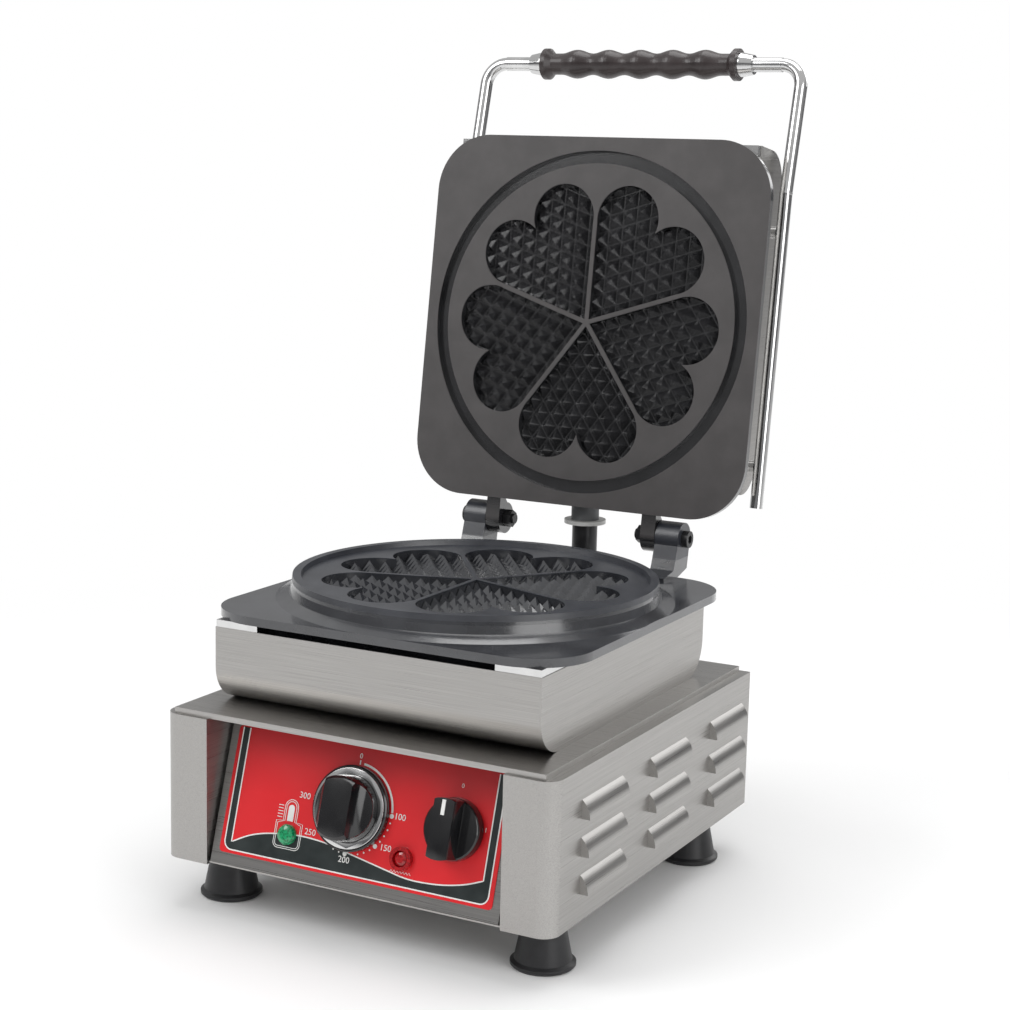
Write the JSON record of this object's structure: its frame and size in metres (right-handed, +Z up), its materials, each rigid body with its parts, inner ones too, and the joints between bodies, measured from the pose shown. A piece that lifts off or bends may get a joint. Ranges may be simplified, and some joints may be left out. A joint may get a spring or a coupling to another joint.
{
  "type": "waffle maker",
  "caption": "Electric waffle maker with a heated patterned cast plate on a folded steel base and a hinged upper plate with a rod handle.",
  "frame": {"origin": "centre of the whole object's box in plan, on the surface that the feet stand on", "axes": "+Z up, -Y towards the control panel and the user, +X to the right as seen by the user; drawn with the lid open on its stop"},
  "size_m": [0.317, 0.4476, 0.6093],
  "materials": {
    "brushed_stainless": "brushed",
    "plain_steel": "satin",
    "bright_steel": "polished",
    "bare_cast_iron": "oiled semi-gloss",
    "seasoned_cast_iron": "matt, burnt-in oil",
    "black_steel": "black oxide",
    "pale_pad": "satin",
    "grey_rubber": "matt",
    "black_rubber": "matt",
    "red_overlay": "satin print",
    "black_plastic": "gloss",
    "white_paint": "matt",
    "ivory_plastic": "matt",
    "green_lens": "faceted, translucent",
    "red_lens": "gloss, translucent",
    "brown_grip": "semi-gloss moulded",
    "heater_sheath": "oxidised",
    "copper_tube": "drawn",
    "insulation_felt": "fibrous",
    "wire_sleeve": "matt"
  },
  "bodies": {
    "base": {"side_sheet_left": "brushed_stainless", "side_sheet_right": "brushed_stainless", "top_cover": "brushed_stainless", "control_panel": "brushed_stainless", "rear_panel": "brushed_stainless", "bottom_plate": "brushed_stainless", "lower_pan": "brushed_stainless", "lower_pan_side_left": "brushed_stainless", "lower_pan_side_right": "brushed_stainless", "stop_bracket": "plain_steel", "lower_clamp_plate": "plain_steel", "pan_bolts": "plain_steel", "foot_screws": "plain_steel", "lower_clips": "bright_steel", "lower_plate": "bare_cast_iron", "hinge_bolt_left": "black_steel", "hinge_bolt_right": "black_steel", "stop_post": "black_steel", "stop_pad": "pale_pad", "foot_front_left": "black_rubber", "foot_front_right": "black_rubber", "foot_rear_left": "black_rubber", "foot_rear_right": "black_rubber", "panel_overlay": "red_overlay", "cable_gland": "black_plastic", "gland_nut": "black_plastic", "switch_body": "black_plastic", "thermostat_body": "ivory_plastic", "terminal_block": "ivory_plastic", "green_lamp_body": "ivory_plastic", "red_lamp_body": "ivory_plastic", "green_lamp_lens": "green_lens", "red_lamp_lens": "red_lens", "red_lamp_bezel": "red_lens", "lower_element": "heater_sheath", "thermostat_capillary": "copper_tube", "lower_insulation": "insulation_felt", "wiring_loom": "wire_sleeve"},
    "lid": {"upper_plate": "seasoned_cast_iron", "upper_clips": "bright_steel", "lid_casing": "brushed_stainless", "lid_side_left": "brushed_stainless", "lid_side_right": "brushed_stainless", "upper_insulation": "insulation_felt", "upper_element": "heater_sheath", "upper_clamp_plate": "plain_steel", "lid_stop_block": "grey_rubber", "rod_screws": "bright_steel", "handle_rod_left": "bright_steel", "handle_rod_right": "bright_steel", "handle_bar": "bright_steel", "grip": "brown_grip", "ferrules": "bright_steel"},
    "dial": {"thermostat_knob": "black_plastic", "thermostat_ring": "bright_steel", "thermostat_shaft": "bright_steel"},
    "switch": {"switch_knob": "black_plastic", "switch_marker": "white_paint", "switch_shaft": "bright_steel"}
  },
  "joints": [
    {"name": "lid_hinge", "type": "hinge", "parent": "base", "child": "lid", "pos_m": [0, 0.11627, 0.2365], "axis": [1, 0, 0], "range_deg": [0, 98]},
    {"name": "thermostat_turn", "type": "hinge", "parent": "base", "child": "dial", "pos_m": [-0.007, -0.1949, 0.09097], "axis": [0, 0.9563, -0.2924], "range_deg": [0, 270]},
    {"name": "switch_turn", "type": "hinge", "parent": "base", "child": "switch", "pos_m": [0.0725, -0.1949, 0.09097], "axis": [0, 0.9563, -0.2924], "range_deg": [0, 90]}
  ]
}
